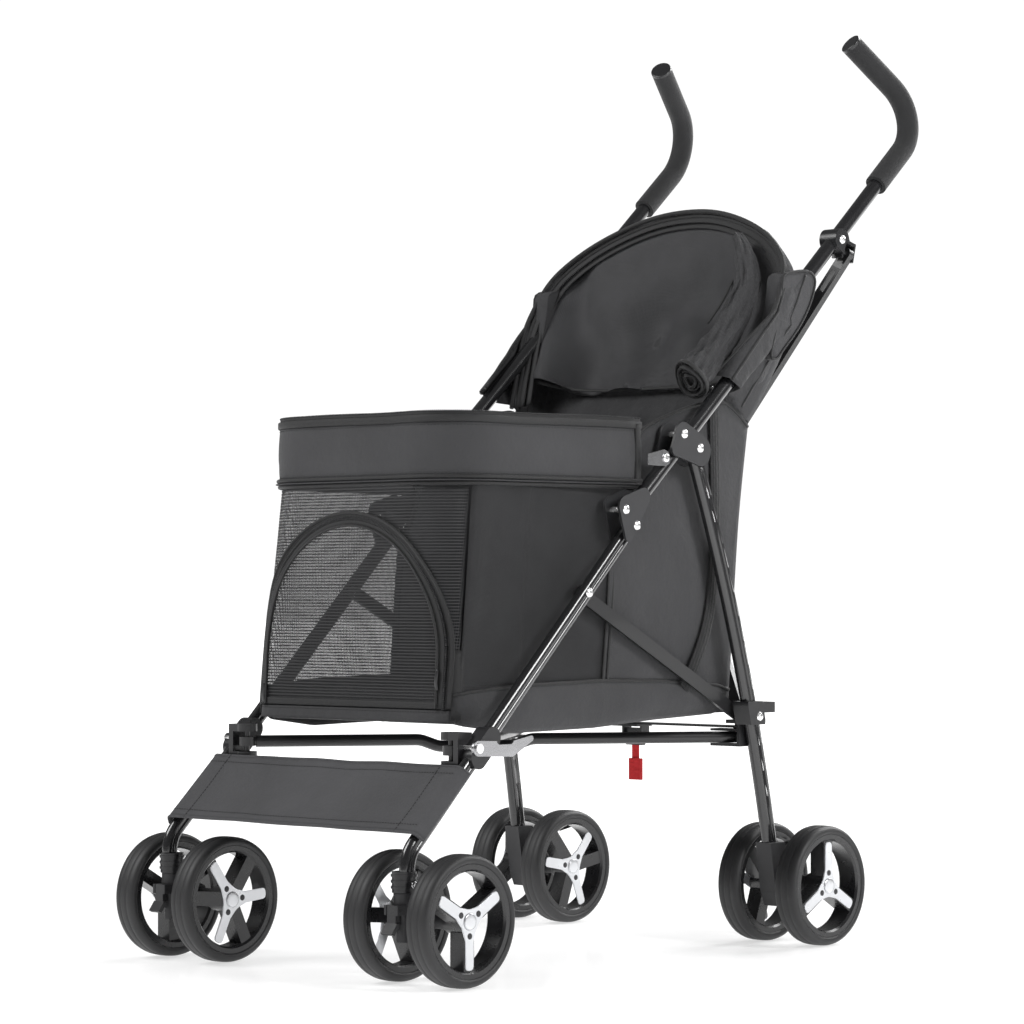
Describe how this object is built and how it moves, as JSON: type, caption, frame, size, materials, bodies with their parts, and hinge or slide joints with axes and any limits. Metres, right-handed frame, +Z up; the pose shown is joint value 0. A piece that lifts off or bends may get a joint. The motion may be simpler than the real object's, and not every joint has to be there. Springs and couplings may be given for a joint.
{
  "type": "pet stroller",
  "caption": "Folding pet stroller with crossed umbrella frame, curved foam grips, soft mesh-sided cabin, front door, leaning hood and double spoked wheels.",
  "frame": {"origin": "on the ground, at the bottom centre of the whole stroller's bounding box", "axes": "+Z up; the front faces -Y; +X is the user's left when standing behind the handles"},
  "size_m": [0.5, 0.9012, 1.063],
  "materials": {
    "frame_paint": "gloss black",
    "grip_foam": "matte foam",
    "black_plastic": "fine grained",
    "rivet_steel": "bright",
    "hook_steel": "zinc plated",
    "tyre": "matte",
    "rim": "satin with silver trim",
    "cabin_fabric": "woven polyester and mesh",
    "smooth_fabric": "woven polyester",
    "mat_fabric": "padded",
    "pull_tag": "red webbing"
  },
  "bodies": {
    "seat": {"front_panel": "cabin_fabric", "side_panels": "cabin_fabric", "floor_mat": "mat_fabric", "back_panel": "cabin_fabric", "front_band": "smooth_fabric", "hood": "cabin_fabric", "hood_bow": "frame_paint", "leg_rest": "smooth_fabric"},
    "door": {"front_door": "cabin_fabric"},
    "left_frame": {"left_handle_tube": "frame_paint", "left_grip": "grip_foam", "left_front_leg": "frame_paint", "left_rear_leg": "frame_paint", "left_brackets": "black_plastic", "left_fittings": "black_plastic", "left_rivets": "rivet_steel", "left_side_strut": "frame_paint", "left_rear_housing": "black_plastic"},
    "left_caster": {"left_caster_fork": "black_plastic"},
    "left_swivel_lock": {"left_swivel_lock": "black_plastic"},
    "left_front_outer_wheel": {"left_front_outer_tyre": "tyre", "left_front_outer_rim": "rim"},
    "left_front_inner_wheel": {"left_front_inner_tyre": "tyre", "left_front_inner_rim": "rim"},
    "left_rear_outer_wheel": {"left_rear_outer_tyre": "tyre", "left_rear_outer_rim": "rim"},
    "left_rear_inner_wheel": {"left_rear_inner_tyre": "tyre", "left_rear_inner_rim": "rim"},
    "left_brake_lever": {"left_brake_lever": "black_plastic"},
    "seat_tube_left": {"seat_tube_left": "frame_paint"},
    "back_bar_left": {"back_bar_left": "frame_paint"},
    "rear_link_left": {"rear_link_left": "frame_paint"},
    "right_frame": {"right_handle_tube": "frame_paint", "right_grip": "grip_foam", "right_front_leg": "frame_paint", "right_rear_leg": "frame_paint", "right_brackets": "black_plastic", "right_fittings": "black_plastic", "right_rivets": "rivet_steel", "right_side_strut": "frame_paint", "right_rear_housing": "black_plastic"},
    "right_caster": {"right_caster_fork": "black_plastic"},
    "right_swivel_lock": {"right_swivel_lock": "black_plastic"},
    "right_front_outer_wheel": {"right_front_outer_tyre": "tyre", "right_front_outer_rim": "rim"},
    "right_front_inner_wheel": {"right_front_inner_tyre": "tyre", "right_front_inner_rim": "rim"},
    "right_rear_outer_wheel": {"right_rear_outer_tyre": "tyre", "right_rear_outer_rim": "rim"},
    "right_rear_inner_wheel": {"right_rear_inner_tyre": "tyre", "right_rear_inner_rim": "rim"},
    "right_brake_lever": {"right_brake_lever": "black_plastic"},
    "seat_tube_right": {"seat_tube_right": "frame_paint"},
    "back_bar_right": {"back_bar_right": "frame_paint"},
    "rear_link_right": {"rear_link_right": "frame_paint"},
    "lock_latch": {"lock_latch": "black_plastic", "pull_strap": "pull_tag"},
    "storage_hook": {"storage_hook": "hook_steel"}
  },
  "joints": [
    {"name": "fold_left", "type": "slide", "parent": "seat", "child": "left_frame", "axis": [-1, 0, 0], "range_m": [0, 0.07], "deforming": ["front_panel", "side_panels", "floor_mat", "back_panel", "front_band", "hood", "hood_bow", "leg_rest", "front_door"]},
    {"name": "fold_right", "type": "slide", "parent": "seat", "child": "right_frame", "axis": [1, 0, 0], "range_m": [0, 0.07]},
    {"name": "left_caster_turn", "type": "hinge", "parent": "left_frame", "child": "left_caster", "pos_m": [0.177, -0.42158, 0.096], "axis": [0, 0, 1], "continuous": true},
    {"name": "left_swivel_lock_flip", "type": "hinge", "parent": "left_caster", "child": "left_swivel_lock", "pos_m": [0.177, -0.43658, 0.079], "axis": [-1, 0, 0], "range_deg": [0, 20]},
    {"name": "left_front_outer_wheel_roll", "type": "hinge", "parent": "left_caster", "child": "left_front_outer_wheel", "pos_m": [0.222, -0.38558, 0.0675], "axis": [1, 0, 0], "continuous": true},
    {"name": "left_front_inner_wheel_roll", "type": "hinge", "parent": "left_caster", "child": "left_front_inner_wheel", "pos_m": [0.132, -0.38558, 0.0675], "axis": [1, 0, 0], "continuous": true},
    {"name": "left_rear_outer_wheel_roll", "type": "hinge", "parent": "left_frame", "child": "left_rear_outer_wheel", "pos_m": [0.235, 0.18642, 0.0675], "axis": [1, 0, 0], "continuous": true},
    {"name": "left_rear_inner_wheel_roll", "type": "hinge", "parent": "left_frame", "child": "left_rear_inner_wheel", "pos_m": [0.153, 0.18642, 0.0675], "axis": [1, 0, 0], "continuous": true},
    {"name": "left_brake_press", "type": "hinge", "parent": "left_frame", "child": "left_brake_lever", "pos_m": [0.194, 0.17242, 0.096], "axis": [-1, 0, 0], "range_deg": [0, 20]},
    {"name": "seat_tube_left_turn", "type": "hinge", "parent": "left_frame", "child": "seat_tube_left", "pos_m": [0.156, -0.33158, 0.235], "axis": [0, 0, -1], "range_deg": [0, 14]},
    {"name": "back_bar_left_turn", "type": "hinge", "parent": "left_frame", "child": "back_bar_left", "pos_m": [0.186, 0.29842, 0.795], "axis": [0, -0.9683, 0.2499], "range_deg": [0, 12.5]},
    {"name": "rear_link_left_turn", "type": "hinge", "parent": "left_frame", "child": "rear_link_left", "pos_m": [0.158, 0.13242, 0.245], "axis": [0, 0, 1], "range_deg": [0, 56.5]},
    {"name": "right_caster_turn", "type": "hinge", "parent": "right_frame", "child": "right_caster", "pos_m": [-0.177, -0.42158, 0.096], "axis": [0, 0, 1], "continuous": true},
    {"name": "right_swivel_lock_flip", "type": "hinge", "parent": "right_caster", "child": "right_swivel_lock", "pos_m": [-0.177, -0.43658, 0.079], "axis": [-1, 0, 0], "range_deg": [0, 20]},
    {"name": "right_front_outer_wheel_roll", "type": "hinge", "parent": "right_caster", "child": "right_front_outer_wheel", "pos_m": [-0.222, -0.38558, 0.0675], "axis": [1, 0, 0], "continuous": true},
    {"name": "right_front_inner_wheel_roll", "type": "hinge", "parent": "right_caster", "child": "right_front_inner_wheel", "pos_m": [-0.132, -0.38558, 0.0675], "axis": [1, 0, 0], "continuous": true},
    {"name": "right_rear_outer_wheel_roll", "type": "hinge", "parent": "right_frame", "child": "right_rear_outer_wheel", "pos_m": [-0.235, 0.18642, 0.0675], "axis": [1, 0, 0], "continuous": true},
    {"name": "right_rear_inner_wheel_roll", "type": "hinge", "parent": "right_frame", "child": "right_rear_inner_wheel", "pos_m": [-0.153, 0.18642, 0.0675], "axis": [1, 0, 0], "continuous": true},
    {"name": "right_brake_press", "type": "hinge", "parent": "right_frame", "child": "right_brake_lever", "pos_m": [-0.194, 0.17242, 0.096], "axis": [-1, 0, 0], "range_deg": [0, 20]},
    {"name": "seat_tube_right_turn", "type": "hinge", "parent": "right_frame", "child": "seat_tube_right", "pos_m": [-0.156, -0.33158, 0.235], "axis": [0, 0, 1], "range_deg": [0, 14]},
    {"name": "back_bar_right_turn", "type": "hinge", "parent": "right_frame", "child": "back_bar_right", "pos_m": [-0.186, 0.29842, 0.795], "axis": [0, 0.9683, -0.2499], "range_deg": [0, 12.5]},
    {"name": "rear_link_right_turn", "type": "hinge", "parent": "right_frame", "child": "rear_link_right", "pos_m": [-0.158, 0.13242, 0.245], "axis": [0, 0, -1], "range_deg": [0, 56.5]},
    {"name": "lock_latch_lift", "type": "hinge", "parent": "rear_link_left", "child": "lock_latch", "pos_m": [0.006, 0.13242, 0.2366], "axis": [1, 0, 0], "range_deg": [0, 25]},
    {"name": "storage_hook_turn", "type": "hinge", "parent": "left_frame", "child": "storage_hook", "pos_m": [0.1902, -0.32958, 0.238], "axis": [-1, 0, 0], "range_deg": [0, 70]},
    {"name": "front_door_open", "type": "hinge", "parent": "seat", "child": "door", "pos_m": [0, -0.32758, 0.276], "axis": [1, 0, 0], "range_deg": [0, 95]}
  ],
  "couplings": [
    {"joint": "fold_right", "follows": "fold_left", "ratio": 1},
    {"joint": "seat_tube_left_turn", "follows": "fold_left", "rad_per_m": 3.4279},
    {"joint": "back_bar_left_turn", "follows": "fold_left", "rad_per_m": 3.0135},
    {"joint": "rear_link_left_turn", "follows": "fold_left", "rad_per_m": 14.001},
    {"joint": "seat_tube_right_turn", "follows": "fold_left", "rad_per_m": 3.4279},
    {"joint": "back_bar_right_turn", "follows": "fold_left", "rad_per_m": 3.0135},
    {"joint": "rear_link_right_turn", "follows": "fold_left", "rad_per_m": 14.001}
  ]
}
